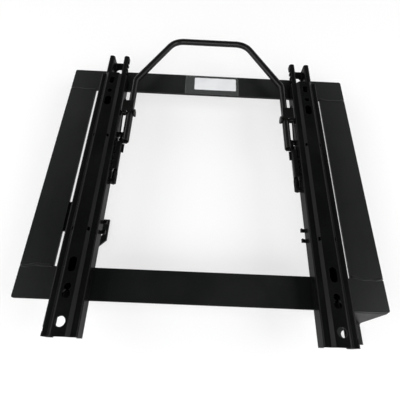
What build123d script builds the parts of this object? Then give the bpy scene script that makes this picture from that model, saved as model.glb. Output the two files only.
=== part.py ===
from build123d import *
import os
from math import radians, sin

os.makedirs("parts", exist_ok=True)

# Everything is drawn from the centre of the flat frame, with the frame's top face at height
# zero, X across, Y towards the seat's front and Z up. The last step sets it on the floor.

# Flat frame of welded flat bar
frame_width = 480.0
frame_depth = 400.0
front_bar_width = 45.0
rear_bar_width = 42.0
side_bar_width = 44.0
bar_thick = 3.5
bar_corner = 3.0

# Legs of flat bar, bent and welded under the frame
deck_height = 44.0
leg_width = 45.0
leg_thick = 3.5
leg_bend = 5.0
leg_tab = 36.0
corner_leg_lean = 10.0
corner_leg_splay = 22.0
inner_leg_splay = 10.0
foot_length = 28.0
foot_hole_radius = 5.25
foot_hole_edge = 12.0
inner_leg_front = -62.5
inner_leg_top_reach = 50.0
inner_leg_foot_start = 71.0
inner_leg_reach = 95.0
inner_leg_chamfer = 12.0

# Rails
rail_spacing = 322.0
rail_front_overhang = 19.0
rail_rear_inset = 9.0
setback = 53.0

# Lower rail section, an open hat with turned down flanges
lower_thick = 2.3
channel_width = 18.7
flange_height = 19.0
skirt_spread = 32.7
skirt_bottom = 9.5
lower_bend = 2.5

# Upper rail section, a C that wraps the lower rail
upper_thick = 2.0
upper_width = 42.0
shoulder_height = 25.5
strip_height = 30.0
strip_half_width = 8.0
strip_slope = 4.5
lip_bottom = 3.0
lip_reach = 7.0
upper_bend = 1.6

# Rack in the inner skirt of the lower rail
rack_pitch = 10.0
notch_width = 5.6
notch_depth = 1.6
rack_end_margin = 7.0
rack_spare_notches = 4

# Latch
latch_teeth = 4
latch_thick = 1.8
tooth_width = 4.8
tooth_gap = 0.3
latch_at = 40.0
latch_front_reach = 33.0
latch_rear_reach = 15.5
latch_tab_at = 25.0
latch_tab_length = 15.0
latch_tab_reach = 3.5
latch_tab_rise = 3.5
latch_bend = 1.8
latch_rise = 9.5
latch_parked = 10.0
hinge_height = 7.0
hinge_rod_radius = 1.6
hinge_clearance = 0.06
hinge_offset = 4.3
wall_gap = 0.35
window_bottom = 14.8
window_top = 20.8

# Press tongue under the end of the handle tube
tongue_inset = 5.0
tongue_width = 6.0
tongue_height = 4.0
tongue_gap = 0.5
tongue_lip_shift = -0.6

# Hinge lugs and latch spring
lug_thick = 5.0
lug_radius = 3.9
lug_gap = 5.5
rod_overhang = 2.0
latch_spring_wire = 1.5
latch_spring_radius = 3.2
latch_spring_turns = 7
latch_spring_gap = 0.3
latch_spring_pitch = 1.75

# Balls and their cages
ball_gap = 0.2
upper_ball_offset = 12.9
lower_ball_offset = 15.5
ball_pair_spacing = 24.0
ball_group_offset = 143.5
cage_length = 38.0
cage_thick = 1.8
cage_pocket_gap = 0.2
upper_cage_inner = 9.4
upper_cage_outer = 16.8
lower_cage_inner = 11.4
lower_cage_outer = 17.8

# Stops pressed down into the ball tracks
stop_offset = 75.5
stop_thick = 1.6
stop_width = 3.0
stop_depth = 2.2
stop_slot_length = 5.0
stop_slot_width = 2.4

# Holes along the upper rail, as distances from its middle
seat_rear_hole_at = -189.0
seat_rear_hole_radius = 5.9
keyhole_at = -158.4
keyhole_radius = 4.9
keyhole_neck_radius = 4.3
keyhole_neck_shift = 8.8
rear_slot_at = -122.7
rear_slot_length = 19.0
rear_slot_width = 9.6
inner_slot_at = 143.1
inner_slot_length = 19.5
inner_slot_width = 10.6
seat_front_hole_at = 164.5
seat_front_hole_radius = 4.0
front_slot_at = 187.5
front_slot_length = 15.0
front_slot_width = 9.0
wall_notch_inset = 7.5
wall_notch_length = 5.0
wall_notch_depth = 3.5
hook_places = (-56.0, -71.0)
hook_reach = 5.0
hook_width = 5.0
hook_rise = 4.0

# Lower rail holes and its bolts into the frame
rail_bolt_inset = 28.0
rail_bolt_radius = 4.0
rail_bolt_clearance = 0.25
bolt_head_radius = 7.0
bolt_head_height = 4.0
bolt_socket_width = 5.0
bolt_socket_depth = 2.4
washer_radius = 8.5
washer_thick = 1.6
nut_across_flats = 13.0
nut_height = 6.5
bolt_tail = 2.0
rail_front_hole_radius = 6.0
rail_front_hole_inset = 21.0

# Towel bar handle
tube_radius = 5.25
tube_wall = 1.25
handle_offset = 35.5
handle_front_width = 130.0
handle_tail = 56.0
handle_bend_reach = 72.0
handle_front_reach = 175.5
handle_height = 17.0
handle_bend_radius = 18.0
handle_front_radius = 30.0

# Handle pivots, springs and plates
pivot_at = 130.0
pivot_radius = 2.4
pivot_clearance = 0.05
pivot_head_radius = 6.0
pivot_head_thick = 2.6
pivot_head_gap = 0.3
pivot_collar_radius = 4.5
pivot_collar_length = 0.5
handle_spring_wire = 2.0
handle_spring_radius = 3.7
handle_spring_turns = 3
handle_spring_pitch = 2.05
spring_side_gap = 0.3
spring_loop_inner = 1.5
spring_loop_outer = 3.5
plate_rear_gap = 1.0
plate_length = 21.0
plate_thick = 2.5
plate_sink = 0.15
plate_outer_gap = 2.0
hook_clear = 3.2
hook_top_clear = 2.4

# Worked out from the sizes above
rail_x = rail_spacing / 2
side_bar_x = frame_width / 2 - side_bar_width / 2
rail_length = frame_depth + rail_front_overhang - rail_rear_inset
lower_rail_front = frame_depth / 2 + rail_front_overhang
lower_rail_middle = lower_rail_front - rail_length / 2
upper_rail_middle = lower_rail_middle - setback
upper_rail_front = upper_rail_middle + rail_length / 2
upper_rail_rear = upper_rail_middle - rail_length / 2
latch_y = upper_rail_middle + latch_at
latch_front = latch_y + latch_front_reach
latch_rear = latch_y - latch_rear_reach
first_tooth = latch_y - rack_pitch * (latch_teeth - 1) / 2
pivot_y = upper_rail_middle + pivot_at
handle_rear = pivot_y - handle_tail
handle_bend_y = pivot_y + handle_bend_reach
handle_front_y = pivot_y + handle_front_reach
tongue_rear = handle_rear + tongue_inset
tongue_front = tongue_rear + tongue_width
leg_top_z = -bar_thick - leg_thick / 2
foot_z = -deck_height + leg_thick / 2
upper_wall_outer = upper_width / 2
upper_wall_inner = upper_wall_outer - upper_thick
shoulder_under = shoulder_height - upper_thick
lip_top = lip_bottom + upper_thick
skirt_outer = (skirt_spread + lower_thick) / 2
channel_inner = (channel_width - lower_thick) / 2
rail_bolt_front_y = frame_depth / 2 - rail_bolt_inset
rail_bolt_rear_y = -rail_bolt_front_y
rail_front_hole_y = lower_rail_front - rail_front_hole_inset
knuckle_radius = hinge_rod_radius + hinge_clearance + latch_thick
hinge_u = upper_wall_outer + hinge_offset
tube_u = handle_offset
tongue_lip_u = tube_u + tongue_lip_shift
tooth_tip_u = skirt_outer - notch_depth + tooth_gap
ball_middle = (lower_rail_middle + upper_rail_middle) / 2
lug_front_y = tongue_front + lug_gap
latch_spring_height = latch_spring_pitch * latch_spring_turns
lug_rear_y = latch_rear - latch_spring_height - latch_spring_wire - 2 * latch_spring_gap
overall_rear = upper_rail_rear
overall_front = handle_front_y + tube_radius
overall_middle = (overall_rear + overall_front) / 2


# Placing and simple shapes

def to_row(shape):
    """Set a piece on the floor, with the origin under the middle of the whole bracket."""
    return Pos(0, -overall_middle, deck_height) * shape


def save(name, shape):
    export_step(to_row(shape), f"parts/{name}.step")


def on_left_rail(shape):
    """A piece drawn across the rail's own middle, u towards the seat's middle."""
    return Pos(-rail_x, 0, 0) * shape


def to_right(shape):
    return mirror(shape, about=Plane.YZ)


def across(front_y):
    """The plane of a cross section at front_y, seen from the front end."""
    return Plane(origin=(0, front_y, 0), x_dir=(1, 0, 0), z_dir=(0, -1, 0))


def bent_strip(points, bend, thick, front_y, length):
    """Flat stock bent along a path of (u, z) points and run backwards from front_y."""
    path = FilletPolyline(*points, radius=bend)
    return extrude(across(front_y) * trace(path, line_width=thick), length)


def block(low, high):
    """A box between two opposite corners."""
    size = [h - l for l, h in zip(low, high)]
    middle = [(h + l) / 2 for l, h in zip(low, high)]
    return Pos(*middle) * Box(*size)


def upright(radius, x, y, low_z, high_z):
    """A round bar along Z between two heights."""
    return Pos(x, y, (low_z + high_z) / 2) * Cylinder(radius, high_z - low_z)


def along_x(radius, y, z, low_x, high_x):
    """A round bar along X between two places."""
    turned = Rotation(0, 90, 0) * Cylinder(radius, high_x - low_x)
    return Pos((low_x + high_x) / 2, y, z) * turned


def along_y(radius, x, z, low_y, high_y):
    """A round bar along Y between two places."""
    turned = Rotation(90, 0, 0) * Cylinder(radius, high_y - low_y)
    return Pos(x, (low_y + high_y) / 2, z) * turned


def wire(path, radius):
    """Round wire swept along a path."""
    return sweep(Plane(origin=path @ 0, z_dir=path % 0) * Circle(radius), path=path)


# Flat frame

def crossbar(sign, width, bolt_y):
    bar_y = sign * (frame_depth - width) / 2
    bar = Pos(0, bar_y, -bar_thick / 2) * Box(frame_width, width, bar_thick)
    bar = fillet(bar.edges().filter_by(Axis.Z), bar_corner)
    for x in (-rail_x, rail_x):
        bar -= upright(rail_bolt_radius + rail_bolt_clearance, x, bolt_y, -bar_thick, 0)
    return bar


def front_crossbar():
    bar = crossbar(1, front_bar_width, rail_bolt_front_y)
    for x in (-rail_x, rail_x):
        bar -= upright(rail_front_hole_radius, x, rail_front_hole_y, -bar_thick, 0)
    return bar


def side_plate(sign):
    length = frame_depth - front_bar_width - rear_bar_width
    middle_y = (rear_bar_width - front_bar_width) / 2
    return Pos(sign * side_bar_x, middle_y, -bar_thick / 2) * Box(side_bar_width, length, bar_thick)


# Legs

def splayed_strip(points, front_y, rear_y, splay):
    """Flat stock bent along (x, z) points, whose web also runs by splay along Y on its way down."""
    high_y = max(front_y, front_y + splay)
    low_y = min(rear_y, rear_y + splay)
    strip = bent_strip(points, leg_bend, leg_thick, high_y, high_y - low_y)
    web_top = leg_top_z - leg_thick / 2
    web_low = foot_z + leg_thick / 2
    side = Polyline(
        (front_y, 0),
        (front_y, web_top),
        (front_y + splay, web_low),
        (front_y + splay, -deck_height),
        (rear_y + splay, -deck_height),
        (rear_y + splay, web_low),
        (rear_y, web_top),
        (rear_y, 0),
        close=True,
    )
    return strip & extrude(Plane.YZ * make_face(side), frame_width, both=True)


def foot_hole(x, y):
    return upright(foot_hole_radius, x, y, -deck_height, -deck_height + leg_thick)


def corner_leg():
    """The right rear leg: a tab under the crossbar, a web that leans back and inwards, and a foot.

    It is drawn with its outward side along X, then turned to face the rear.
    """
    outside = frame_depth / 2 - leg_thick / 2
    foot_start = outside + corner_leg_lean
    foot_end = foot_start + foot_length
    points = (
        (outside - leg_tab, leg_top_z),
        (outside, leg_top_z),
        (foot_start, foot_z),
        (foot_end, foot_z),
    )
    edge = frame_width / 2
    leg = splayed_strip(points, edge, edge - leg_width, -corner_leg_splay)
    leg -= foot_hole(foot_end - foot_hole_edge, edge - leg_width / 2 - corner_leg_splay)
    return Rotation(0, 0, -90) * leg


def left_rear_leg():
    """The left rear leg runs down and inwards under the rail."""
    edge = -frame_width / 2
    points = (
        (edge + leg_thick, leg_top_z),
        (edge + inner_leg_top_reach, leg_top_z),
        (edge + inner_leg_foot_start, foot_z),
        (edge + inner_leg_reach, foot_z),
    )
    rear_y = inner_leg_front - leg_width
    leg = splayed_strip(points, inner_leg_front, rear_y, -inner_leg_splay)
    corner = leg.edges().filter_by(Axis.Z).group_by(Axis.X)[-1].sort_by(Axis.Y)[0]
    leg = chamfer(corner, inner_leg_chamfer)
    middle_y = inner_leg_front - leg_width / 2 - inner_leg_splay
    return leg - foot_hole(edge + inner_leg_reach - foot_hole_edge, middle_y)


# Lower rail with its rack

def lower_rail():
    wall = channel_width / 2
    skirt = skirt_spread / 2
    floor = lower_thick / 2
    top = flange_height - lower_thick / 2
    half = ((wall, floor), (wall, top), (skirt, top), (skirt, skirt_bottom))
    left_half = [(-u, z) for u, z in reversed(half)]
    points = (*left_half, *half)
    rail = bent_strip(points, lower_bend, lower_thick, lower_rail_front, rail_length)
    for y in (rail_bolt_front_y, rail_bolt_rear_y):
        rail -= upright(rail_bolt_radius + rail_bolt_clearance, 0, y, 0, lower_thick)
    rail -= upright(rail_front_hole_radius, 0, rail_front_hole_y, 0, lower_thick)
    return rail - rack_notches()


def rack_notches():
    """One groove down the inner skirt's face for each tooth place along the latch's travel."""
    first = first_tooth - rack_pitch * rack_spare_notches
    last = lower_rail_front - rack_end_margin
    count = int((last - first) / rack_pitch) + 1
    low_u = skirt_outer - notch_depth
    notches = []
    for step in range(count):
        y = first + step * rack_pitch
        low = (low_u, y - notch_width / 2, skirt_bottom - 1)
        high = (skirt_outer + 1, y + notch_width / 2, flange_height + 1)
        notches.append(block(low, high))
    return notches


# Upper rail

def upper_rail():
    wall = upper_wall_outer - upper_thick / 2
    lip = lip_bottom + upper_thick / 2
    shoulder = shoulder_height - upper_thick / 2
    strip = strip_height - upper_thick / 2
    half = (
        (strip_half_width, strip),
        (strip_half_width + strip_slope, shoulder),
        (wall, shoulder),
        (wall, lip),
        (upper_wall_outer - lip_reach, lip),
    )
    left_half = [(-u, z) for u, z in reversed(half)]
    points = (*left_half, *half)
    rail = bent_strip(points, upper_bend, upper_thick, upper_rail_front, rail_length)
    rail -= strip_holes()
    rail -= latch_windows()
    rail -= along_x(pivot_radius, pivot_y, handle_height, upper_wall_inner, upper_wall_outer)
    rail -= rear_wall_notch()
    rail -= stop_slots()
    for y in hook_places:
        rail += rail_hook(upper_rail_middle + y)
    for stop in track_stops():
        rail += stop
    return rail


def strip_hole(radius, at):
    y = upper_rail_middle + at
    return upright(radius, 0, y, shoulder_under, strip_height)


def strip_slot(length, width, at):
    slot = extrude(SlotOverall(length, width, rotation=90), strip_height - shoulder_under)
    return Pos(0, upper_rail_middle + at, shoulder_under) * slot


def strip_holes():
    """The row of holes and slots along the raised strip."""
    return [
        strip_hole(seat_rear_hole_radius, seat_rear_hole_at),
        strip_hole(keyhole_radius, keyhole_at),
        strip_hole(keyhole_neck_radius, keyhole_at + keyhole_neck_shift),
        strip_slot(rear_slot_length, rear_slot_width, rear_slot_at),
        strip_slot(inner_slot_length, inner_slot_width, inner_slot_at),
        strip_hole(seat_front_hole_radius, seat_front_hole_at),
        strip_slot(front_slot_length, front_slot_width, front_slot_at),
    ]


def tooth_places():
    return [first_tooth + step * rack_pitch for step in range(latch_teeth)]


def latch_windows():
    """Windows in the inner wall that the latch teeth pass through."""
    windows = []
    for y in tooth_places():
        low = (upper_wall_inner - 1, y - notch_width / 2, window_bottom)
        high = (upper_wall_outer + 1, y + notch_width / 2, window_top)
        windows.append(block(low, high))
    return windows


def rear_wall_notch():
    """A small notch in the outer shoulder near the rear end."""
    y = upper_rail_rear + wall_notch_inset
    low = (-upper_wall_outer - 1, y - wall_notch_length / 2, shoulder_height - wall_notch_depth)
    high = (-upper_wall_outer + wall_notch_depth, y + wall_notch_length / 2, shoulder_height + 1)
    return block(low, high)


def stop_places():
    return [(side, upper_rail_middle + end * stop_offset) for side in (-1, 1) for end in (-1, 1)]


def stop_slots():
    """Slots beside each pressed stop, through the slope of the raised strip."""
    slots = []
    outer = upper_ball_offset - stop_width / 2
    for side, y in stop_places():
        ends = sorted((side * outer, side * (outer - stop_slot_width)))
        low = (ends[0], y - stop_slot_length / 2, shoulder_under - 1)
        high = (ends[1], y + stop_slot_length / 2, strip_height + 1)
        slots.append(block(low, high))
    return slots


def track_stops():
    """Tongues pressed down into the upper ball tracks, which end the balls' travel."""
    stops = []
    for side, y in stop_places():
        u = side * upper_ball_offset
        low = (u - stop_width / 2, y - stop_thick / 2, shoulder_under - stop_depth)
        high = (u + stop_width / 2, y + stop_thick / 2, shoulder_under + upper_thick / 2)
        stops.append(block(low, high))
    return stops


def rail_hook(y):
    """A tongue turned out of the inner lip and up."""
    outer = upper_wall_outer + hook_reach
    tongue = block(
        (upper_wall_outer - upper_thick / 2, y - hook_width / 2, lip_bottom),
        (outer, y + hook_width / 2, lip_top),
    )
    tip = block(
        (outer - upper_thick, y - hook_width / 2, lip_bottom),
        (outer, y + hook_width / 2, lip_bottom + hook_rise),
    )
    return tongue + tip


# Latch, drawn with its teeth in the rack and then turned to its parked place

def latch():
    rod = along_y(hinge_rod_radius + hinge_clearance, hinge_u, hinge_height, latch_rear, tongue_front)
    hinge = Axis((hinge_u, 0, hinge_height), (0, 1, 0))
    roll = along_y(knuckle_radius, hinge_u, hinge_height, latch_rear, tongue_front)
    body = latch_web().rotate(hinge, latch_parked) + roll + press_tongue()
    return body - rod


def latch_web():
    """The upright web, the flange over it and the teeth that reach into the rack."""
    web_u = hinge_u + knuckle_radius - latch_thick / 2
    top = hinge_height + latch_rise
    edge = upper_wall_outer + wall_gap
    points = ((web_u, hinge_height), (web_u, top), (edge, top))
    web = bent_strip(points, latch_bend, latch_thick, latch_front, latch_front - latch_rear)
    web += latch_tab(web_u)
    for y in tooth_places():
        low = (tooth_tip_u, y - tooth_width / 2, top - latch_thick / 2)
        high = (edge, y + tooth_width / 2, top + latch_thick / 2)
        web += block(low, high)
    return web


def latch_tab(web_u):
    """A small tab on the web, to release the latch by hand."""
    y = latch_y + latch_tab_at
    low_z = hinge_height + latch_tab_rise
    end_u = web_u + latch_thick / 2 + latch_tab_reach
    low = (web_u, y - latch_tab_length / 2, low_z)
    return block(low, (end_u, y + latch_tab_length / 2, low_z + latch_thick))


def press_tongue():
    """The arm that the end of the handle tube pushes down."""
    low_z = tongue_height
    top_z = handle_height - tube_radius - tongue_gap
    points = ((hinge_u, low_z), (tongue_lip_u, low_z), (tongue_lip_u, top_z))
    return bent_strip(points, latch_bend, latch_thick, tongue_front, tongue_front - tongue_rear)


def hinge_lug(front_y):
    """An ear on the upper rail's inner wall that holds the hinge rod."""
    rear_y = front_y - lug_thick
    root = block(
        (upper_wall_outer, rear_y, hinge_height - lug_radius),
        (hinge_u, front_y, hinge_height + lug_radius),
    )
    eye = along_y(lug_radius, hinge_u, hinge_height, rear_y, front_y)
    bore = along_y(hinge_rod_radius, hinge_u, hinge_height, rear_y, front_y)
    return root + eye - bore


def hinge_lugs():
    return Compound(children=[hinge_lug(lug_front_y + lug_thick), hinge_lug(lug_rear_y)])


def hinge_rod():
    front = lug_front_y + lug_thick + rod_overhang
    rear = lug_rear_y - lug_thick - rod_overhang
    return along_y(hinge_rod_radius, hinge_u, hinge_height, rear, front)


def latch_spring():
    """A close coil on the hinge rod behind the latch."""
    height = latch_spring_height
    rear = (lug_rear_y + latch_rear) / 2 - height / 2
    coil = Helix(pitch=latch_spring_pitch, height=height, radius=latch_spring_radius)
    section = Plane(origin=coil @ 0, z_dir=coil % 0) * Circle(latch_spring_wire / 2)
    turned = Rotation(-90, 0, 0) * sweep(section, path=coil, is_frenet=True)
    return Pos(hinge_u, rear, hinge_height) * turned


# Balls and cages

def ball_rows():
    """Middle (u, z) and radius of the four rows of balls in a rail."""
    upper_room = shoulder_under - flange_height
    lower_room = skirt_bottom - lip_top
    rows = []
    for side in (-1, 1):
        upper = (side * upper_ball_offset, (shoulder_under + flange_height) / 2, upper_room)
        lower = (side * lower_ball_offset, (skirt_bottom + lip_top) / 2, lower_room)
        rows += [upper, lower]
    return [(u, z, room / 2 - ball_gap) for u, z, room in rows]


def ball_group_places():
    return [ball_middle + end * ball_group_offset for end in (-1, 1)]


def ball_places():
    return [y + end * ball_pair_spacing / 2 for y in ball_group_places() for end in (-1, 1)]


def bearing_balls():
    balls = []
    for u, z, radius in ball_rows():
        for y in ball_places():
            balls.append(Pos(u, y, z) * Sphere(radius))
    return Compound(children=balls)


def cage_strip(inner, outer, u, z, radius, y):
    """One flat cage with a pocket for each of its two balls."""
    side = 1 if u > 0 else -1
    ends = sorted((side * inner, side * outer))
    low = (ends[0], y - cage_length / 2, z - cage_thick / 2)
    high = (ends[1], y + cage_length / 2, z + cage_thick / 2)
    strip = block(low, high)
    for end in (-1, 1):
        pocket_y = y + end * ball_pair_spacing / 2
        strip -= upright(radius + cage_pocket_gap, u, pocket_y, low[2], high[2])
    return strip


def ball_cages():
    strips = []
    for u, z, radius in ball_rows():
        is_upper = z > (shoulder_height + lip_bottom) / 2
        inner = upper_cage_inner if is_upper else lower_cage_inner
        outer = upper_cage_outer if is_upper else lower_cage_outer
        for y in ball_group_places():
            strips.append(cage_strip(inner, outer, u, z, radius, y))
    return Compound(children=strips)


# Rail bolts

def bolt_axes():
    return [(x, y) for x in (-rail_x, rail_x) for y in (rail_bolt_rear_y, rail_bolt_front_y)]


def rail_bolt(x, y):
    end_z = -bar_thick - washer_thick - nut_height - bolt_tail
    top_z = lower_thick + bolt_head_height
    bolt = upright(rail_bolt_radius, x, y, end_z, lower_thick)
    bolt += upright(bolt_head_radius, x, y, lower_thick, top_z)
    socket = extrude(RegularPolygon(bolt_socket_width / 2, 6, major_radius=False), bolt_socket_depth)
    return bolt - Pos(x, y, top_z - bolt_socket_depth) * socket


def rail_washer(x, y):
    low_z = -bar_thick - washer_thick
    ring = upright(washer_radius, x, y, low_z, -bar_thick)
    return ring - upright(rail_bolt_radius + rail_bolt_clearance, x, y, low_z, -bar_thick)


def rail_nut(x, y):
    top_z = -bar_thick - washer_thick
    hexagon = RegularPolygon(nut_across_flats / 2, 6, major_radius=False)
    nut = Pos(x, y, top_z - nut_height) * extrude(hexagon, nut_height)
    return nut - upright(rail_bolt_radius, x, y, top_z - nut_height, top_z)


# Handle

def handle_tube():
    outer_x = rail_x - handle_offset
    front_x = handle_front_width / 2
    path = FilletPolyline(
        (-outer_x, handle_rear, handle_height),
        (-outer_x, handle_bend_y, handle_height),
        (-front_x, handle_front_y, handle_height),
        (front_x, handle_front_y, handle_height),
        (outer_x, handle_bend_y, handle_height),
        (outer_x, handle_rear, handle_height),
        radius=(handle_bend_radius, handle_front_radius, handle_front_radius, handle_bend_radius),
    )
    ring = Circle(tube_radius) - Circle(tube_radius - tube_wall)
    tube = sweep(Plane(origin=path @ 0, z_dir=path % 0) * ring, path=path)
    for x in (-outer_x, outer_x):
        hole = pivot_radius + pivot_clearance
        tube -= along_x(hole, pivot_y, handle_height, x - 2 * tube_radius, x + 2 * tube_radius)
    return tube


def handle_plate():
    """The wing on top of the tube just ahead of the pivot."""
    rear_y = pivot_y - plate_rear_gap
    low_z = handle_height + tube_radius - plate_sink
    plate = block(
        (upper_wall_outer + plate_outer_gap, rear_y, low_z),
        (tube_u + tube_radius, rear_y + plate_length, low_z + plate_thick),
    )
    return plate - along_y(tube_radius, tube_u, handle_height, rear_y, rear_y + plate_length)


def pivot_pin():
    """A headed pin, riveted in the rail's wall, that the tube turns on."""
    head_u = tube_u + tube_radius + pivot_head_gap
    pin = along_x(pivot_radius, pivot_y, handle_height, upper_wall_inner, head_u)
    collar_end = upper_wall_outer + pivot_collar_length
    pin += along_x(pivot_collar_radius, pivot_y, handle_height, upper_wall_outer, collar_end)
    head_end = head_u + pivot_head_thick
    return pin + along_x(pivot_head_radius, pivot_y, handle_height, head_u, head_end)


def handle_spring():
    """A coil on the pivot pin, with a loop back to the hinge lug and a hook to the plate."""
    radius = handle_spring_wire / 2
    height = handle_spring_pitch * handle_spring_turns
    start_u = upper_wall_outer + pivot_collar_length + spring_side_gap + radius
    end_u = start_u + height
    coil = Helix(pitch=handle_spring_pitch, height=height, radius=handle_spring_radius)
    section = Plane(origin=coil @ 0, z_dir=coil % 0) * Circle(radius)
    turned = Rotation(0, 90, 0) * sweep(section, path=coil, is_frenet=True)
    spring = Pos(start_u, pivot_y, handle_height) * turned
    coil_bottom = handle_height - handle_spring_radius
    spring += wire(rear_loop(start_u, end_u, coil_bottom), radius)
    return spring + wire(front_hook((start_u + end_u) / 2, coil_bottom), radius)


def rear_loop(start_u, end_u, coil_bottom):
    loop_z = hinge_height + lug_radius + handle_spring_wire / 2 + tongue_gap
    loop_y = lug_front_y + lug_thick / 2
    return FilletPolyline(
        (start_u, pivot_y, coil_bottom),
        (hinge_u - spring_loop_inner, loop_y, loop_z),
        (hinge_u + spring_loop_outer, loop_y, loop_z),
        (end_u, pivot_y, coil_bottom),
        radius=handle_spring_wire,
    )


def front_hook(u, coil_bottom):
    front_y = pivot_y - plate_rear_gap + plate_length + hook_clear
    plate_low = handle_height + tube_radius - plate_sink
    low_z = plate_low - hook_clear
    top_z = plate_low + plate_thick + hook_top_clear
    return FilletPolyline(
        (u, pivot_y, coil_bottom),
        (u, front_y, low_z),
        (u, front_y, top_z),
        (u, front_y - 2 * hook_clear, top_z),
        radius=handle_spring_wire,
    )


# Build and save

def save_pair(name, shape):
    """A piece of the left rail and its mirror image on the right."""
    left = on_left_rail(shape)
    save(f"left_{name}", left)
    save(f"right_{name}", to_right(left))


def main():
    save("front_crossbar", front_crossbar())
    save("rear_crossbar", crossbar(-1, rear_bar_width, rail_bolt_rear_y))
    save("left_side_plate", side_plate(-1))
    save("right_side_plate", side_plate(1))
    front_leg = mirror(corner_leg(), about=Plane.XZ)
    save("left_front_leg", to_right(front_leg))
    save("right_front_leg", front_leg)
    save("left_rear_leg", left_rear_leg())
    save("right_rear_leg", corner_leg())
    save("rail_bolts", Compound(children=[rail_bolt(x, y) for x, y in bolt_axes()]))
    save("rail_washers", Compound(children=[rail_washer(x, y) for x, y in bolt_axes()]))
    save("rail_nuts", Compound(children=[rail_nut(x, y) for x, y in bolt_axes()]))
    save_pair("lower_rail", lower_rail())
    save_pair("upper_rail", upper_rail())
    save_pair("bearing_balls", bearing_balls())
    save_pair("ball_cages", ball_cages())
    save_pair("latch", latch())
    save_pair("hinge_lugs", hinge_lugs())
    save_pair("hinge_rod", hinge_rod())
    save_pair("latch_spring", latch_spring())
    save_pair("pivot_pin", pivot_pin())
    save_pair("handle_spring", handle_spring())
    save_pair("handle_plate", handle_plate())
    save("handle_tube", handle_tube())
    print("handle pivot, y and z:", pivot_y - overall_middle, handle_height + deck_height)
    print("latch hinge, x and z:", rail_x - hinge_u, hinge_height + deck_height)


main()
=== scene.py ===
"""Looks of a sliding seat bracket: paint, plating, welds, a blank label and the studio."""

import logging
import math
from dataclasses import dataclass, field
from enum import Enum
from typing import Optional, Sequence, Union

import bpy
import numpy as np
from mathutils import Matrix, Vector

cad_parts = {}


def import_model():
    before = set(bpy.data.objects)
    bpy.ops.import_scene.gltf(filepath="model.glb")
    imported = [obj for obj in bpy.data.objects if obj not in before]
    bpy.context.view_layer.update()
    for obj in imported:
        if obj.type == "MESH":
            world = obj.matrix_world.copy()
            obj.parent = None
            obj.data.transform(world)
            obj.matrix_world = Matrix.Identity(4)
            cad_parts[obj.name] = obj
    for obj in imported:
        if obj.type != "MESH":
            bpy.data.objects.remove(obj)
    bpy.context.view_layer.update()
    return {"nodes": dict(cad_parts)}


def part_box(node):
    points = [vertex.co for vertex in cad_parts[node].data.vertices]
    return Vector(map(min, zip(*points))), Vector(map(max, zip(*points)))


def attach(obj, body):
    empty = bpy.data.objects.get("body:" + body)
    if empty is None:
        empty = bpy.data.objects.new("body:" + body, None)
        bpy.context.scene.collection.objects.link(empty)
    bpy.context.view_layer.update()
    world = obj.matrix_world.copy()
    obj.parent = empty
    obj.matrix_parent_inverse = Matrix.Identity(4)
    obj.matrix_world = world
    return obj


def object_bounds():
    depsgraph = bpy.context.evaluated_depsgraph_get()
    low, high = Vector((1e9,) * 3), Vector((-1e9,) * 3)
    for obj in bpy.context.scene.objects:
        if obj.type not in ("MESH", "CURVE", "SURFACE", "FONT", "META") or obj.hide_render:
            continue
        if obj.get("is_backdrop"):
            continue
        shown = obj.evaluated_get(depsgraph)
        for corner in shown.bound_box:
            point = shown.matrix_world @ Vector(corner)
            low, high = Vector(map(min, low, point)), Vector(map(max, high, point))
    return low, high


LOG = logging.getLogger("seat_bracket")

Colour = tuple[float, float, float]
MM = 0.001
TURN = 2 * math.pi
LEGS = ("left_front_leg", "right_front_leg", "left_rear_leg", "right_rear_leg")


class Side(Enum):
    """The two sides of the bracket, with the sign of X on each."""

    LEFT = -1
    RIGHT = 1

    @property
    def word(self) -> str:
        """The side's name as the nodes spell it."""
        return self.name.lower()


class Graph:
    """The node tree of one material or world, with one way to add a node."""

    def __init__(self, tree: bpy.types.NodeTree) -> None:
        """Empties the tree.

        Args:
            tree: The node tree that the graph fills.
        """
        self.tree = tree
        tree.nodes.clear()

    def node(
        self,
        kind: str,
        settings: Optional[dict] = None,
        sockets: Optional[dict] = None,
    ) -> bpy.types.Node:
        """Adds a node.

        Args:
            kind: The node's type.
            settings: Its properties, set first.
            sockets: The value, Signal or output for each input, by name or by number.

        Returns:
            The new node.
        """
        made = self.tree.nodes.new(kind)
        for key, value in (settings or {}).items():
            setattr(made, key, value)
        for key, value in (sockets or {}).items():
            self._feed(made.inputs[key], value)
        return made

    def _feed(self, socket: bpy.types.NodeSocket, value: object) -> None:
        """Links an input to a Signal or an output, or sets its value."""
        if isinstance(value, Signal):
            self.tree.links.new(value.socket, socket)
        elif isinstance(value, bpy.types.NodeSocket):
            self.tree.links.new(value, socket)
        elif isinstance(value, tuple) and len(value) == 3 and socket.type == "RGBA":
            socket.default_value = (*value, 1.0)
        else:
            socket.default_value = value

    def out(self, made: bpy.types.Node, name: Union[str, int]) -> "Signal":
        """One output of a node as a Signal."""
        return Signal(self, made.outputs[name])

    def mix(self, share: object, first: object, second: object) -> bpy.types.NodeSocket:
        """Mixes two colours.

        Args:
            share: How much of the second colour, 0 to 1.
            first: The colour or output at share 0.
            second: The colour or output at share 1.

        Returns:
            The mixed colour's output.
        """
        made = self.node("ShaderNodeMix", {"data_type": "RGBA"}, {0: share, 6: first, 7: second})
        return made.outputs[2]


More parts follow.
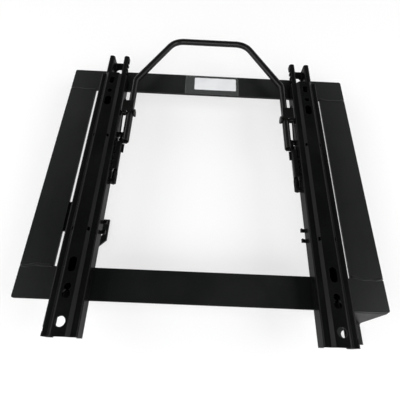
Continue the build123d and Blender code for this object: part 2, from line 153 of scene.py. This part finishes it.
class Signal:
    """A number that a shader works out, on which arithmetic adds Math nodes."""

    def __init__(self, graph: Graph, socket: bpy.types.NodeSocket) -> None:
        """Wraps an output.

        Args:
            graph: The graph that the output is in.
            socket: The output.
        """
        self.graph = graph
        self.socket = socket

    def _math(self, operation: str, *values: object) -> "Signal":
        """Adds a Math node over the given values."""
        sockets = dict(enumerate(values))
        made = self.graph.node("ShaderNodeMath", {"operation": operation}, sockets)
        return Signal(self.graph, made.outputs[0])

    def __add__(self, other: object) -> "Signal":
        """self + other."""
        return self._math("ADD", self, other)

    __radd__ = __add__

    def __sub__(self, other: object) -> "Signal":
        """self - other."""
        return self._math("SUBTRACT", self, other)

    def __rsub__(self, other: object) -> "Signal":
        """other - self."""
        return self._math("SUBTRACT", other, self)

    def __mul__(self, other: object) -> "Signal":
        """self * other."""
        return self._math("MULTIPLY", self, other)

    __rmul__ = __mul__

    def __gt__(self, other: object) -> "Signal":
        """1 where self is above other."""
        return self._math("GREATER_THAN", self, other)

    def highest(self, other: object) -> "Signal":
        """The larger of the two."""
        return self._math("MAXIMUM", self, other)

    def ramp(self, low: float, high: float) -> "Signal":
        """A smooth step from 0 at low to 1 at high."""
        made = self.graph.node(
            "ShaderNodeMapRange", {"interpolation_type": "SMOOTHSTEP"}, {0: self, 1: low, 2: high}
        )
        return Signal(self.graph, made.outputs[0])


class Finish:
    """What every surface finish shares: one material with patterns on Object coordinates."""

    name: str
    streak_detail = 3.0
    speck_core = 0.4
    spread_scale = 0.13
    spread_from = 0.62

    def start(self) -> tuple[bpy.types.Material, Graph, Signal]:
        """Makes the material and its place on the surface.

        Returns:
            The material, its graph and the Object coordinates.
        """
        material = bpy.data.materials.new(self.name)
        material.use_nodes = True
        graph = Graph(material.node_tree)
        place = graph.out(graph.node("ShaderNodeTexCoord"), "Object")
        return material, graph, place

    def noise(self, graph: Graph, place: Signal, scale: float, detail: float = 2.0) -> Signal:
        """Noise of a given fineness.

        Args:
            graph: The material's graph.
            place: The coordinates.
            scale: Cells to the metre.
            detail: Octaves.

        Returns:
            The noise, about 0 to 1.
        """
        sockets = {"Vector": place, "Scale": scale, "Detail": detail}
        return graph.out(graph.node("ShaderNodeTexNoise", {}, sockets), 0)

    def streaks(self, graph: Graph, place: Signal, along: float, across: float) -> Signal:
        """Noise drawn out along Y, as rolling and wiping leave it.

        Args:
            graph: The material's graph.
            place: The coordinates.
            along: Cells to the metre along Y.
            across: Cells to the metre across.

        Returns:
            The noise, about 0 to 1.
        """
        drawn = graph.node(
            "ShaderNodeMapping", {}, {"Vector": place, "Scale": (across, along, across)}
        )
        sockets = {"Vector": drawn.outputs[0], "Scale": 1.0, "Detail": self.streak_detail}
        return graph.out(graph.node("ShaderNodeTexNoise", {}, sockets), 0)

    def specks(self, graph: Graph, place: Signal, scale: float, size: float) -> Signal:
        """Scattered round specks, in the cells where a coarser noise is high.

        Args:
            graph: The material's graph.
            place: The coordinates.
            scale: Cells to the metre, with at most one speck in each.
            size: A speck's radius as a share of its cell.

        Returns:
            1 in a speck and 0 outside.
        """
        cells = graph.node("ShaderNodeTexVoronoi", {}, {"Vector": place, "Scale": scale})
        spread = self.noise(graph, place, scale * self.spread_scale)
        near = 1.0 - graph.out(cells, "Distance").ramp(size * self.speck_core, size)
        return near * (spread > self.spread_from)

    def bump(
        self, graph: Graph, height: Signal, strength: float, depth: float, edge: float = 0.0
    ) -> bpy.types.NodeSocket:
        """A bumpy surface, with its edges rounded where a radius is given.

        Args:
            graph: The material's graph.
            height: The pattern of the bumps, 0 to 1.
            strength: How strongly they show, 0 to 1.
            depth: Their height in metres.
            edge: The radius of the edges in metres, or 0 for sharp ones.

        Returns:
            The normal's output.
        """
        sockets = {"Strength": strength, "Distance": depth, "Height": height}
        if edge:
            rounded = graph.node("ShaderNodeBevel", {"samples": 4}, {"Radius": edge})
            sockets["Normal"] = rounded.outputs[0]
        return graph.node("ShaderNodeBump", {}, sockets).outputs[0]

    def end(
        self, material: bpy.types.Material, graph: Graph, shader: bpy.types.NodeSocket
    ) -> bpy.types.Material:
        """Links the shader to the material's output."""
        graph.node("ShaderNodeOutputMaterial", {}, {"Surface": shader})
        return material


@dataclass(frozen=True)
class BakedPaint(Finish):
    """Baked black paint on steel: fine orange peel, uneven gloss, dust and rounded edges."""

    name: str
    colour: Colour
    dust_colour: Colour = (0.016, 0.017, 0.016)
    gloss: float = 0.35
    gloss_swing: float = 0.12
    gloss_streak: float = 0.10
    gloss_grain: float = 0.08
    level: float = 0.4
    peel: float = 0.10
    peel_scale: float = 900.0
    peel_depth: float = 0.0002
    dust: float = 0.35
    dust_range: tuple[float, float] = (0.42, 0.72)
    dust_grain: float = 0.12
    dust_speck: float = 0.6
    dust_cover: float = 0.8
    cloud_scale: float = 14.0
    grain_scale: float = 260.0
    streak_along: float = 6.0
    streak_across: float = 90.0
    speck_scale: float = 240.0
    speck_size: float = 0.16
    edge: float = 0.0007
    matte: float = 0.15
    matte_swing: float = 0.5
    matte_streak: float = 0.2

    def material(self) -> bpy.types.Material:
        """Builds the paint, as gloss under patches of matte haze.

        Returns:
            The material.
        """
        made, graph, place = self.start()
        cloud = self.noise(graph, place, self.cloud_scale, 4.0)
        grain = self.noise(graph, place, self.grain_scale, 3.0)
        wiped = self.streaks(graph, place, self.streak_along, self.streak_across)
        speck = self.specks(graph, place, self.speck_scale, self.speck_size)
        patches = cloud.ramp(*self.dust_range) * self.dust
        dusty = (patches + grain * self.dust_grain + speck * self.dust_speck) * self.dust_cover
        colour = graph.mix(dusty, self.colour, self.dust_colour)
        uneven = (cloud - 0.5) * self.gloss_swing + (wiped - 0.5) * self.gloss_streak
        rough = uneven + (grain - 0.5) * self.gloss_grain + self.gloss
        peel = self.noise(graph, place, self.peel_scale, 2.0)
        normal = self.bump(graph, peel, self.peel, self.peel_depth, self.edge)
        shader = graph.node(
            "ShaderNodeBsdfPrincipled",
            {},
            {
                "Base Color": colour,
                "Roughness": rough,
                "Specular IOR Level": self.level,
                "Normal": normal,
            },
        )
        haze = graph.node("ShaderNodeBsdfDiffuse", {}, {"Color": colour, "Normal": normal})
        patchy = (cloud - 0.5) * self.matte_swing + (wiped - 0.5) * self.matte_streak
        both = graph.node(
            "ShaderNodeMixShader",
            {},
            {0: patchy + self.matte, 1: shader.outputs[0], 2: haze.outputs[0]},
        )
        return self.end(made, graph, both.outputs[0])


@dataclass(frozen=True)
class BareSteel(Finish):
    """Bare or plated steel: metal with fine turning marks and dull patches."""

    name: str
    colour: Colour
    dull_colour: Colour
    gloss: float = 0.32
    gloss_swing: float = 0.25
    gloss_grain: float = 0.15
    marks: float = 0.12
    mark_depth: float = 0.0001
    dull_range: tuple[float, float] = (0.35, 0.75)
    dull_cloud: float = 0.8
    dull_grain: float = 0.2
    cloud_scale: float = 90.0
    grain_scale: float = 900.0
    edge: float = 0.0003

    def material(self) -> bpy.types.Material:
        """Builds the metal.

        Returns:
            The material.
        """
        made, graph, place = self.start()
        cloud = self.noise(graph, place, self.cloud_scale, 4.0)
        grain = self.noise(graph, place, self.grain_scale, 3.0)
        dull = cloud.ramp(*self.dull_range) * self.dull_cloud + grain * self.dull_grain
        colour = graph.mix(dull, self.colour, self.dull_colour)
        uneven = (cloud - 0.5) * self.gloss_swing + (grain - 0.5) * self.gloss_grain
        normal = self.bump(graph, grain, self.marks, self.mark_depth, self.edge)
        shader = graph.node(
            "ShaderNodeBsdfPrincipled",
            {},
            {
                "Base Color": colour,
                "Metallic": 1.0,
                "Roughness": uneven + self.gloss,
                "Normal": normal,
            },
        )
        return self.end(made, graph, shader.outputs[0])


@dataclass(frozen=True)
class PlainPlastic(Finish):
    """Moulded plastic of one colour with a fine grain."""

    name: str
    colour: Colour
    gloss: float = 0.55
    paler: float = 1.5
    grain_scale: float = 700.0
    grain_bump: float = 0.15
    grain_depth: float = 0.0001

    def material(self) -> bpy.types.Material:
        """Builds the plastic.

        Returns:
            The material.
        """
        made, graph, place = self.start()
        grain = self.noise(graph, place, self.grain_scale, 3.0)
        colour = graph.mix(grain, self.colour, tuple(self.paler * c for c in self.colour))
        normal = self.bump(graph, grain, self.grain_bump, self.grain_depth)
        shader = graph.node(
            "ShaderNodeBsdfPrincipled",
            {},
            {"Base Color": colour, "Roughness": self.gloss, "Normal": normal},
        )
        return self.end(made, graph, shader.outputs[0])


@dataclass(frozen=True)
class LabelPaper(Finish):
    """Blank white label stock with a faint fibre."""

    name: str = "label_paper"
    colour: Colour = (0.80, 0.81, 0.82)
    shade: Colour = (0.72, 0.73, 0.75)
    gloss: float = 0.38
    fibre_scale: float = 1500.0
    fibre_share: float = 0.3
    fibre_bump: float = 0.08
    fibre_depth: float = 0.0001
    cloud_scale: float = 40.0
    cloud_range: tuple[float, float] = (0.3, 0.8)
    cloud_share: float = 0.7

    def material(self) -> bpy.types.Material:
        """Builds the paper.

        Returns:
            The material.
        """
        made, graph, place = self.start()
        fibre = self.noise(graph, place, self.fibre_scale, 4.0)
        cloud = self.noise(graph, place, self.cloud_scale, 2.0)
        shaded = cloud.ramp(*self.cloud_range) * self.cloud_share + fibre * self.fibre_share
        colour = graph.mix(shaded, self.colour, self.shade)
        normal = self.bump(graph, fibre, self.fibre_bump, self.fibre_depth)
        shader = graph.node(
            "ShaderNodeBsdfPrincipled",
            {},
            {"Base Color": colour, "Roughness": self.gloss, "Normal": normal},
        )
        return self.end(made, graph, shader.outputs[0])


@dataclass(frozen=True)
class ClearFilm(Finish):
    """The label's clear carrier film, which greys the paint below it."""

    name: str = "label_film"
    colour: Colour = (0.072, 0.076, 0.076)
    gloss: float = 0.30
    gloss_swing: float = 0.15
    cloud_scale: float = 120.0
    haze: float = 0.55

    def material(self) -> bpy.types.Material:
        """Builds the film.

        Returns:
            The material.
        """
        made, graph, place = self.start()
        cloud = self.noise(graph, place, self.cloud_scale, 3.0)
        rough = (cloud - 0.5) * self.gloss_swing + self.gloss
        shader = graph.node(
            "ShaderNodeBsdfPrincipled",
            {},
            {"Base Color": self.colour, "Roughness": rough, "Alpha": self.haze},
        )
        return self.end(made, graph, shader.outputs[0])


@dataclass(frozen=True)
class FloorPaper(Finish):
    """White floor: the camera and reflections see it mostly plain white, wholly so far off."""

    name: str = "floor_paper"
    colour: Colour = (0.97, 0.97, 0.97)
    plain_share: float = 0.58
    far_start: float = 0.45
    far_end: float = 1.6

    def material(self) -> bpy.types.Material:
        """Builds the floor's material.

        Returns:
            The material.
        """
        made, graph, place = self.start()
        length = graph.node("ShaderNodeVectorMath", {"operation": "LENGTH"}, {0: place})
        far = graph.out(length, "Value").ramp(self.far_start, self.far_end)
        share = far * (1.0 - self.plain_share) + self.plain_share
        path = graph.node("ShaderNodeLightPath")
        seen = graph.out(path, "Is Camera Ray").highest(graph.out(path, "Is Glossy Ray"))
        seen = seen.highest(graph.out(path, "Is Transmission Ray"))
        paper = graph.node("ShaderNodeBsdfDiffuse", {}, {"Color": self.colour})
        plain = graph.node("ShaderNodeEmission", {}, {"Color": (1.0, 1.0, 1.0), "Strength": 1.0})
        both = graph.node(
            "ShaderNodeMixShader",
            {},
            {0: seen * share, 1: paper.outputs[0], 2: plain.outputs[0]},
        )
        return self.end(made, graph, both.outputs[0])


def mesh_from_grid(name: str, points: np.ndarray, wrap: bool, capped: bool) -> bpy.types.Object:
    """Makes an object from a surface worked out on a grid.

    Args:
        name: The piece's name.
        points: An array of rows by columns by 3, in metres. A row is a section of the surface.
        wrap: Whether the last column joins the first.
        capped: Whether the first and last rows are closed by a fan round their middles.

    Returns:
        The object, at the origin, with its place in its mesh.
    """
    rows, columns = points.shape[:2]
    index = np.arange(rows * columns).reshape(rows, columns)
    if wrap:
        right = np.roll(index, -1, axis=1)
        quads = np.stack([index[:-1], right[:-1], right[1:], index[1:]], axis=-1).reshape(-1, 4)
    else:
        quads = np.stack(
            [index[:-1, :-1], index[:-1, 1:], index[1:, 1:], index[1:, :-1]], axis=-1
        ).reshape(-1, 4)
    vertices = points.reshape(-1, 3)
    faces = quads.tolist()
    if capped:
        vertices = np.vstack([vertices, points[0].mean(0), points[-1].mean(0)])
        start, end = rows * columns, rows * columns + 1
        ring = index[0]
        faces += np.stack([np.roll(ring, -1), ring, np.full_like(ring, start)], axis=1).tolist()
        ring = index[-1]
        faces += np.stack([ring, np.roll(ring, -1), np.full_like(ring, end)], axis=1).tolist()
    mesh = bpy.data.meshes.new(name)
    mesh.from_pydata(vertices.tolist(), [], faces)
    mesh.validate()
    mesh.polygons.foreach_set("use_smooth", np.ones(len(mesh.polygons), bool))
    mesh.update()
    made = bpy.data.objects.new(name, mesh)
    bpy.context.scene.collection.objects.link(made)
    return made


@dataclass(frozen=True)
class WeldForm:
    """How a weld ripples and swells: lengths in millimetres, the rest as shares of its size."""

    pitch: float
    ripple: float
    swell: float
    swells: float
    sides: int
    push: float
    step: float = 0.4
    least_steps: int = 24


BEAD_FORM = WeldForm(pitch=1.6, ripple=0.10, swell=0.12, swells=2.3, sides=12, push=0.4)
FILLET_FORM = WeldForm(pitch=1.7, ripple=0.08, swell=0.10, swells=1.7, sides=14, push=0.2)


def weld_waves(
    length: float, fade: float, form: WeldForm, phase: np.ndarray
) -> tuple[np.ndarray, np.ndarray, np.ndarray, np.ndarray, np.ndarray]:
    """What a bead and a fillet share along their seam.

    The ripple is a sine of the weld's pitch and the swell a slow one. Towards both ends the weld
    thins out as the square root of the distance from the end.

    Args:
        length: The seam's length, in metres.
        fade: The distance over which an end thins out.
        form: The weld's ripple and swell.
        phase: Where the two sines start.

    Returns:
        The place along the seam from 0 to 1, the angle round the section, the ripple, the swell
        and the thinning.
    """
    steps = max(form.least_steps, int(length / (form.step * MM)))
    along = np.linspace(0.0, 1.0, steps)[:, None]
    ring = np.linspace(0.0, TURN, form.sides, endpoint=False)[None, :]
    ripple = 1 + form.ripple * np.sin(TURN * along * length / (form.pitch * MM) + phase[0])
    swell = 1 + form.swell * np.sin(TURN * along * form.swells + phase[1])
    edge = np.clip(np.minimum(along, 1 - along) * length / fade, 1e-4, 1) ** 0.5
    return along, ring, ripple, swell, edge


def bead_points(
    start: np.ndarray,
    end: np.ndarray,
    up: np.ndarray,
    width: float,
    height: float,
    seed: int,
    wave: float,
) -> np.ndarray:
    """A weld bead between two points.

    The section is an ellipse, half of it sunk in the plates, and it wanders to the side as a sum
    of two slow sines. Its middle is pushed forward, as a pool of metal freezes.

    Args:
        start: The bead's first end, in metres.
        end: Its last end.
        up: The direction out of the surface, of length 1.
        width: The bead's width.
        height: How far it stands out of the surface.
        seed: Which run of small irregularities it has.
        wave: How far it wanders to the side.

    Returns:
        The grid of points, one ring in each row.
    """
    phase = np.random.default_rng(seed).uniform(0, TURN, 3)
    length = float(np.linalg.norm(end - start))
    along, ring, ripple, swell, edge = weld_waves(length, 0.5 * width, BEAD_FORM, phase)
    forward = (end - start) / length
    side = np.cross(up, forward)
    slow = np.sin(TURN * along * 0.9 + phase[1])
    shift = wave * (slow + 0.5 * np.sin(TURN * along * 2.1 + phase[2]))
    middle = start + (end - start) * along[..., None]
    across = 0.5 * width * swell * edge * np.cos(ring) + shift
    above = height * ripple * edge * np.sin(ring)
    push = BEAD_FORM.push * MM * np.cos(ring) ** 2 * ripple
    return middle + across[..., None] * side + above[..., None] * up + push[..., None] * forward


def fillet_points(
    start: np.ndarray,
    end: np.ndarray,
    first: np.ndarray,
    second: np.ndarray,
    leg: float,
    seed: int,
) -> np.ndarray:
    """A fillet weld in the corner between two surfaces.

    The section is a circle a little smaller than the leg, with its middle a little out of the
    corner, so that a good quarter of it shows. It ripples along the seam as a bead does.

    Args:
        start: The seam's first end, in metres.
        end: Its last end.
        first: The direction out of the first surface, of length 1.
        second: The direction out of the second surface, of length 1.
        leg: The weld's leg length.
        seed: Which run of small irregularities it has.

    Returns:
        The grid of points, one ring in each row.
    """
    radius, lift = 0.62 * leg, 0.12 * leg
    phase = np.random.default_rng(seed).uniform(0, TURN, 2)
    length = float(np.linalg.norm(end - start))
    along, ring, ripple, swell, edge = weld_waves(length, leg, FILLET_FORM, phase)
    reach = radius * ripple * swell * edge
    forward = (end - start) / length
    middle = start + (end - start) * along[..., None] + lift * (first + second)
    push = FILLET_FORM.push * MM * np.cos(ring) ** 2 * ripple
    return (
        middle
        + (reach * np.cos(ring))[..., None] * first
        + (reach * np.sin(ring))[..., None] * second
        + push[..., None] * forward
    )


def place_piece(
    made: bpy.types.Object, material: bpy.types.Material, body: str
) -> None:
    """Gives a new piece its material and the body that it rides on.

    Args:
        made: The piece.
        material: Its finish.
        body: The body that carries it.
    """
    made.data.materials.append(material)
    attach(made, body)
    LOG.info("%s rides on %s", made.name, body)


def dress_node(nodes: dict, name: str, material: bpy.types.Material) -> None:
    """Gives a carried-over node its finish.

    Args:
        nodes: The frame's nodes.
        name: The node's name.
        material: Its finish.
    """
    slots = nodes[name].data.materials
    if not slots:
        slots.append(material)
    for index in range(len(slots)):
        slots[index] = material
    LOG.info("%s is dressed in %s", name, material.name)


@dataclass
class FlatFrame:
    """The welded flat frame, its legs and the rails' bolts."""

    nodes: dict
    paint: BakedPaint = BakedPaint(
        "frame_paint", (0.0028, 0.0036, 0.0033), gloss=0.38, level=0.30, dust=0.3, matte=0.1
    )
    plating: BareSteel = BareSteel("black_plating", (0.045, 0.045, 0.047), (0.025, 0.025, 0.025))
    seam_width: float = 4.0
    seam_height: float = 0.45
    seam_wave: float = 1.2
    seam_inset: float = 0.5
    leg_weld: float = 3.0
    weld_inset: float = 4.0
    top_depth: float = 0.5

    def build(self) -> None:
        """Dresses the plates, legs and bolts, and adds the welds."""
        paint = self.paint.material()
        for name in ("front_crossbar", "rear_crossbar", "left_side_plate", "right_side_plate"):
            dress_node(self.nodes, name, paint)
        for name in LEGS:
            dress_node(self.nodes, name, paint)
        plating = self.plating.material()
        for name in ("rail_bolts", "rail_washers", "rail_nuts"):
            dress_node(self.nodes, name, plating)
        self.add_plate_welds(paint)
        self.add_leg_welds(paint)

    def add_plate_welds(self, paint: bpy.types.Material) -> None:
        """Adds the ground welds where the side plates meet the crossbars."""
        for side in Side:
            low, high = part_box(f"{side.word}_side_plate")
            inner, outer = sorted((low.x, high.x), key=abs)
            inset = self.seam_inset * MM * side.value
            for end, y in (("rear", low.y), ("front", high.y)):
                for face, z, up in (("top", high.z, 1.0), ("under", low.z, -1.0)):
                    points = bead_points(
                        np.array([inner + inset, y, z]),
                        np.array([outer - inset, y, z]),
                        np.array([0.0, 0.0, up]),
                        self.seam_width * MM,
                        self.seam_height * MM,
                        seed=len(end) + 7 * len(face) + side.value,
                        wave=self.seam_wave * MM,
                    )
                    name = f"{side.word}_{end}_{face}_seam_weld"
                    weld = mesh_from_grid(name, points, True, True)
                    place_piece(weld, paint, "base")

    def add_leg_welds(self, paint: bpy.types.Material) -> None:
        """Adds a fillet weld along the free end of each leg's tab, under the frame."""
        inset = self.weld_inset * MM
        down = np.array([0.0, 0.0, -1.0])
        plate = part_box("left_side_plate")[0].z
        for name in LEGS:
            low, high = self.tab_box(name)
            if name == "left_rear_leg":
                start = np.array([low[0], low[1] + inset, plate])
                end = np.array([low[0], high[1] - inset, plate])
                out = np.array([-1.0, 0.0, 0.0])
            else:
                edge = min(low[1], high[1], key=abs)
                start = np.array([low[0] + inset, edge, plate])
                end = np.array([high[0] - inset, edge, plate])
                out = np.array([0.0, -np.sign(edge), 0.0])
            points = fillet_points(start, end, out, down, self.leg_weld * MM, seed=len(name))
            if np.cross(end - start, out)[2] > 0:
                points = points[:, ::-1]
            weld = mesh_from_grid(f"{name}_weld", points, True, True)
            place_piece(weld, paint, "base")

    def tab_box(self, name: str) -> tuple[np.ndarray, np.ndarray]:
        """The two corners of a leg's tab, from the node's topmost points."""
        mesh = self.nodes[name].data
        points = np.empty(len(mesh.vertices) * 3, np.float32)
        mesh.vertices.foreach_get("co", points)
        points = points.reshape(-1, 3)
        top = points[points[:, 2] > points[:, 2].max() - self.top_depth * MM]
        return top.min(axis=0), top.max(axis=0)


@dataclass
class SlideRails:
    """The nested rails with their balls and cages."""

    nodes: dict
    paint: BakedPaint = BakedPaint(
        "rail_paint",
        (0.0028, 0.0029, 0.0030),
        gloss=0.23,
        gloss_swing=0.10,
        level=0.18,
        peel=0.05,
        dust=0.2,
        matte=0.62,
    )
    balls: BareSteel = BareSteel(
        "ball_steel", (0.62, 0.62, 0.64), (0.50, 0.50, 0.52), gloss=0.15, marks=0.02
    )
    cages: PlainPlastic = PlainPlastic("cage_plastic", (0.02, 0.02, 0.02))

    def build(self) -> None:
        """Dresses the rails, balls and cages."""
        paint = self.paint.material()
        balls = self.balls.material()
        cages = self.cages.material()
        for side in Side:
            dress_node(self.nodes, f"{side.word}_lower_rail", paint)
            dress_node(self.nodes, f"{side.word}_upper_rail", paint)
            dress_node(self.nodes, f"{side.word}_bearing_balls", balls)
            dress_node(self.nodes, f"{side.word}_ball_cages", cages)


@dataclass
class Latches:
    """The toothed latches with their hinges and springs."""

    nodes: dict
    paint: BakedPaint = BakedPaint(
        "latch_paint", (0.0035, 0.0035, 0.0037), gloss=0.30, level=0.25, dust=0.25, matte=0.5
    )
    springs: BareSteel = BareSteel(
        "spring_steel", (0.020, 0.020, 0.021), (0.010, 0.010, 0.010), gloss=0.34
    )

    def build(self) -> None:
        """Dresses the latches, hinges, pins and springs."""
        paint = self.paint.material()
        springs = self.springs.material()
        for side in Side:
            for name in ("latch", "hinge_lugs", "hinge_rod", "pivot_pin"):
                dress_node(self.nodes, f"{side.word}_{name}", paint)
            for name in ("latch_spring", "handle_spring"):
                dress_node(self.nodes, f"{side.word}_{name}", springs)


@dataclass
class TowelBar:
    """The bent tube that releases both latches, and the wings welded on it."""

    nodes: dict
    paint: BakedPaint = BakedPaint(
        "handle_paint",
        (0.0045, 0.0043, 0.0042),
        gloss=0.24,
        level=0.34,
        peel=0.05,
        dust=0.3,
        matte=0.38,
    )

    def build(self) -> None:
        """Dresses the tube and its wings."""
        paint = self.paint.material()
        dress_node(self.nodes, "handle_tube", paint)
        for side in Side:
            dress_node(self.nodes, f"{side.word}_handle_plate", paint)


@dataclass
class BlankLabel:
    """A blank white label on a clear film on the front crossbar, with sizes in millimetres."""

    paper_middle: tuple[float, float] = (12.0, 3.0)
    paper_size: tuple[float, float] = (74.0, 28.5)
    film_middle: tuple[float, float] = (6.0, 0.0)
    film_size: tuple[float, float] = (95.0, 43.6)
    corner: float = 2.0
    gap: float = 0.02
    paper_thick: float = 0.12
    film_thick: float = 0.08
    columns: int = 41
    rows: int = 25
    paper: LabelPaper = field(default_factory=LabelPaper)
    film: ClearFilm = field(default_factory=ClearFilm)

    def build(self) -> None:
        """Adds the film and the paper."""
        film = self.sheet(
            "label_film", self.film_middle, self.film_size, self.gap, self.film_thick
        )
        place_piece(film, self.film.material(), "base")
        lift = self.gap + self.film_thick
        paper = self.sheet(
            "label_paper", self.paper_middle, self.paper_size, lift, self.paper_thick
        )
        place_piece(paper, self.paper.material(), "base")

    def sheet(
        self,
        name: str,
        shift: tuple[float, float],
        size: tuple[float, float],
        lift: float,
        thick: float,
    ) -> bpy.types.Object:
        """A thin sheet with round corners.

        A square grid is squeezed into a rounded rectangle: a point beyond the corner circle's
        middle, both ways, is moved along its ray from there onto a circle of its own distance.

        Args:
            name: The piece's name.
            shift: How far its middle lies from the crossbar's, in millimetres.
            size: Its width and depth, in millimetres.
            lift: Its height above the crossbar, in millimetres.
            thick: Its thickness, in millimetres.

        Returns:
            The piece.
        """
        low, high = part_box("front_crossbar")
        middle = np.array([shift[0] * MM, (low.y + high.y) / 2 + shift[1] * MM, high.z])
        half = np.array(size) / 2
        u, v = np.meshgrid(np.linspace(-1, 1, self.columns), np.linspace(-1, 1, self.rows))
        flat = np.stack([u * half[0], v * half[1]], axis=-1)
        core = half - self.corner
        over = np.maximum(np.abs(flat) - core, 0.0)
        far = np.maximum(over[..., 0], over[..., 1])
        reach = np.linalg.norm(over, axis=-1)
        fitted = over * np.where(reach > 0, far / np.maximum(reach, 1e-9), 1.0)[..., None]
        flat = np.sign(flat) * (np.minimum(np.abs(flat), core) + fitted)
        z = np.full(u.shape, lift)
        points = np.stack([flat[..., 0], flat[..., 1], z], axis=-1) * MM + middle
        made = mesh_from_grid(name, points, False, False)
        thicken = made.modifiers.new("thickness", "SOLIDIFY")
        thicken.thickness = thick * MM
        thicken.offset = 1.0
        return made


@dataclass(frozen=True)
class Softbox:
    """One square lamp: where it hangs, in metres, its power, in watts, and its edge, in metres."""

    name: str
    place: tuple[float, float, float]
    power: float
    size: float = 1.2


@dataclass
class Studio:
    """The floor, the lamps, the world and the camera, in metres but for the camera's place."""

    camera_place: tuple[float, float, float] = (-12.79, -274.95, 464.40)
    pitch: float = 1.10899
    yaw: float = 0.02599
    roll: float = 0.06790
    lens: float = 28.8
    sensor: float = 36.0
    clip_start: float = 0.01
    floor_reach: float = 6.0
    floor_lines: int = 9
    floor: FloorPaper = field(default_factory=FloorPaper)
    horizon: float = 0.97
    ceiling: float = 0.02
    wall_top: float = 0.36
    roof_start: float = 0.60
    target: tuple[float, float, float] = (0.0, 0.0, 0.05)
    lamps: tuple[Softbox, ...] = (
        Softbox("right_softbox", (1.7, -0.5, 1.4), 22.0),
        Softbox("rear_softbox", (0.1, -1.7, 1.5), 18.0),
        Softbox("left_softbox", (-1.7, -0.5, 1.4), 11.5),
        Softbox("left_rear_softbox", (-1.2, -1.6, 1.3), 10.0),
        Softbox("front_softbox", (0.1, 2.6, 0.9), 4.5),
        Softbox("left_front_softbox", (-1.7, 1.3, 1.0), 6.5),
        Softbox("right_front_softbox", (1.7, 1.3, 1.0), 4.0),
        Softbox("left_low_softbox", (-2.0, 0.2, 0.9), 9.0),
        Softbox("right_low_softbox", (2.0, 0.4, 0.9), 5.0),
    )

    def build(self) -> None:
        """Sets up the floor, lamps, world and camera."""
        self.add_floor()
        for lamp in self.lamps:
            self.add_lamp(lamp)
        self.set_world()
        self.add_camera()

    def add_floor(self) -> None:
        """Lays the pale floor under the bracket's feet."""
        lines = np.linspace(-self.floor_reach, self.floor_reach, self.floor_lines)
        x, y = np.meshgrid(lines, lines)
        points = np.stack([x, y, np.full(x.shape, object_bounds()[0][2])], axis=-1)
        floor = mesh_from_grid("floor", points, False, False)
        floor.data.materials.append(self.floor.material())
        floor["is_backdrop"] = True

    def add_lamp(self, lamp: Softbox) -> None:
        """Hangs one square softbox, turned towards the bracket."""
        light = bpy.data.lights.new(lamp.name, "AREA")
        light.shape = "SQUARE"
        light.size = lamp.size
        light.energy = lamp.power
        hung = bpy.data.objects.new(lamp.name, light)
        direction = Vector(self.target) - Vector(lamp.place)
        turn = direction.to_track_quat("-Z", "Y").to_matrix().to_4x4()
        hung.matrix_world = Matrix.Translation(Vector(lamp.place)) @ turn
        bpy.context.scene.collection.objects.link(hung)

    def set_world(self) -> None:
        """Lights the room: pale walls near the horizon under a darker ceiling."""
        world = bpy.data.worlds.new("room")
        bpy.context.scene.world = world
        world.use_nodes = True
        graph = Graph(world.node_tree)
        ray = graph.node("ShaderNodeTexCoord")
        height = graph.node("ShaderNodeSeparateXYZ", {}, {0: ray.outputs["Generated"]})
        rise = graph.out(height, "Z").ramp(self.wall_top, self.roof_start)
        wall = (self.horizon,) * 3
        roof = (self.ceiling,) * 3
        shade = graph.mix(rise, wall, roof)
        light = graph.node("ShaderNodeBackground", {}, {"Color": shade, "Strength": 1.0})
        graph.node("ShaderNodeOutputWorld", {}, {"Surface": light.outputs[0]})

    def add_camera(self) -> None:
        """Stands the camera where the photograph was taken."""
        lens = bpy.data.cameras.new("camera")
        lens.sensor_width = self.sensor
        lens.lens = self.lens
        lens.clip_start = self.clip_start
        camera = bpy.data.objects.new("camera", lens)
        forward = Vector(
            (
                math.sin(self.yaw) * math.cos(self.pitch),
                math.cos(self.yaw) * math.cos(self.pitch),
                -math.sin(self.pitch),
            )
        )
        level = Vector((math.cos(self.yaw), -math.sin(self.yaw), 0.0))
        above = level.cross(forward)
        right = level * math.cos(self.roll) + above * math.sin(self.roll)
        up = above * math.cos(self.roll) - level * math.sin(self.roll)
        turn = Matrix((right, up, -forward)).transposed().to_4x4()
        camera.matrix_world = Matrix.Translation(Vector(self.camera_place) * MM) @ turn
        bpy.context.scene.collection.objects.link(camera)
        bpy.context.scene.camera = camera


def main() -> None:
    """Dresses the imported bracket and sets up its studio."""
    logging.basicConfig(level=logging.INFO, format="%(message)s")
    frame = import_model()
    bpy.context.scene.view_settings.view_transform = "Standard"
    nodes = frame["nodes"]
    Studio().build()
    FlatFrame(nodes).build()
    SlideRails(nodes).build()
    Latches(nodes).build()
    TowelBar(nodes).build()
    BlankLabel().build()


if __name__ == "__main__":
    main()
